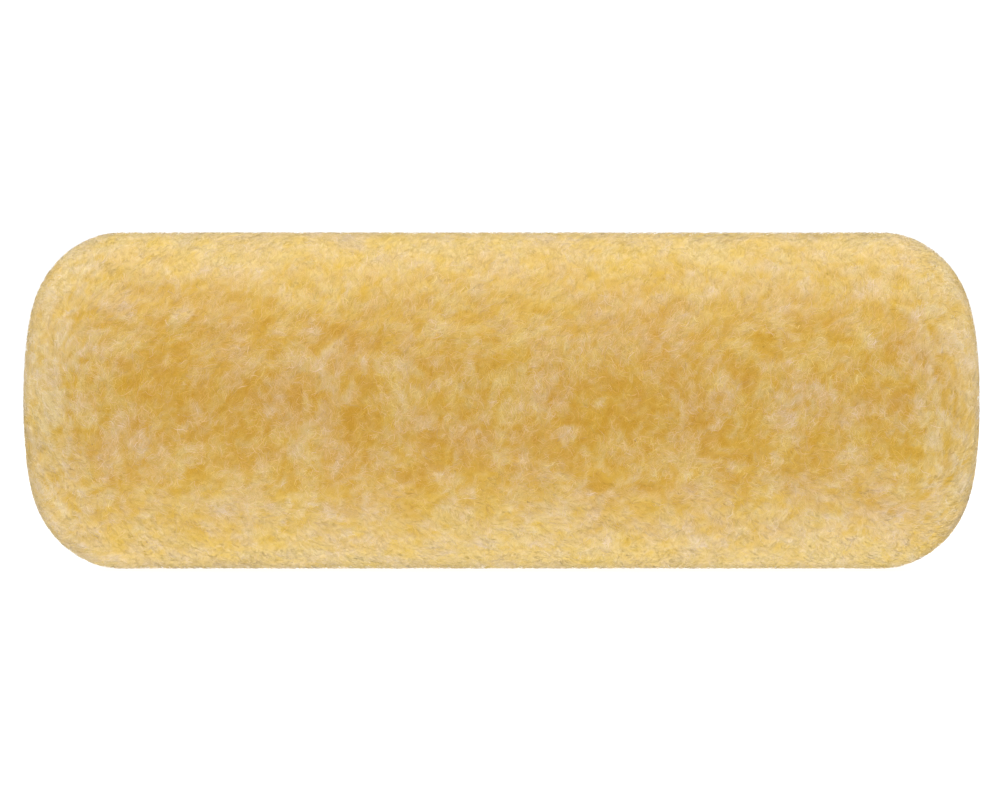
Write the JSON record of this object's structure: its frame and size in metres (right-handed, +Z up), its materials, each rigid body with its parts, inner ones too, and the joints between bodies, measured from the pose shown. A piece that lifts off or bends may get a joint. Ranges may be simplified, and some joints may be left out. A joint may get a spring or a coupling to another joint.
{
  "type": "paint roller sleeve",
  "caption": "Lambskin paint roller sleeve with rounded fluffy ends on a rigid core, with capped bearing hubs and an inner spindle tube that pushes onto a bracket wire.",
  "frame": {"origin": "middle of the roller's axis", "axes": "+X along the roller's axis towards the open end, where the bracket wire goes in; +Z up"},
  "size_m": [0.258, 0.093, 0.093],
  "materials": {
    "wool": "golden lambskin fleece, soft crimped fibres with pale tips",
    "hide": "tanned hide, suede face",
    "thread": "twisted thread",
    "glue": "hot-melt film, translucent amber",
    "core_plastic": "extruded polypropylene, satin",
    "cap_plastic": "moulded polypropylene, fine satin texture",
    "bush_plastic": "moulded acetal, low sheen",
    "spindle_plastic": "moulded acetal, natural white",
    "spring_steel": "bright spring wire"
  },
  "bodies": {
    "spindle": {"spindle_tube": "spindle_plastic", "retaining_clip": "spring_steel"},
    "roller": {"wool_pile": "wool", "hide_backing": "hide", "seam_stitches": "thread", "gathering_thread_open_end": "thread", "gathering_thread_closed_end": "thread", "adhesive_film": "glue", "core_tube": "core_plastic", "end_cap_open_end": "cap_plastic", "end_cap_closed_end": "cap_plastic", "end_plug": "cap_plastic", "bearing_bush_open_end": "bush_plastic", "bearing_bush_closed_end": "bush_plastic"}
  },
  "joints": [
    {"name": "roller_spin", "type": "hinge", "parent": "spindle", "child": "roller", "pos_m": [0, 0, 0], "axis": [1, 0, 0], "continuous": true}
  ]
}
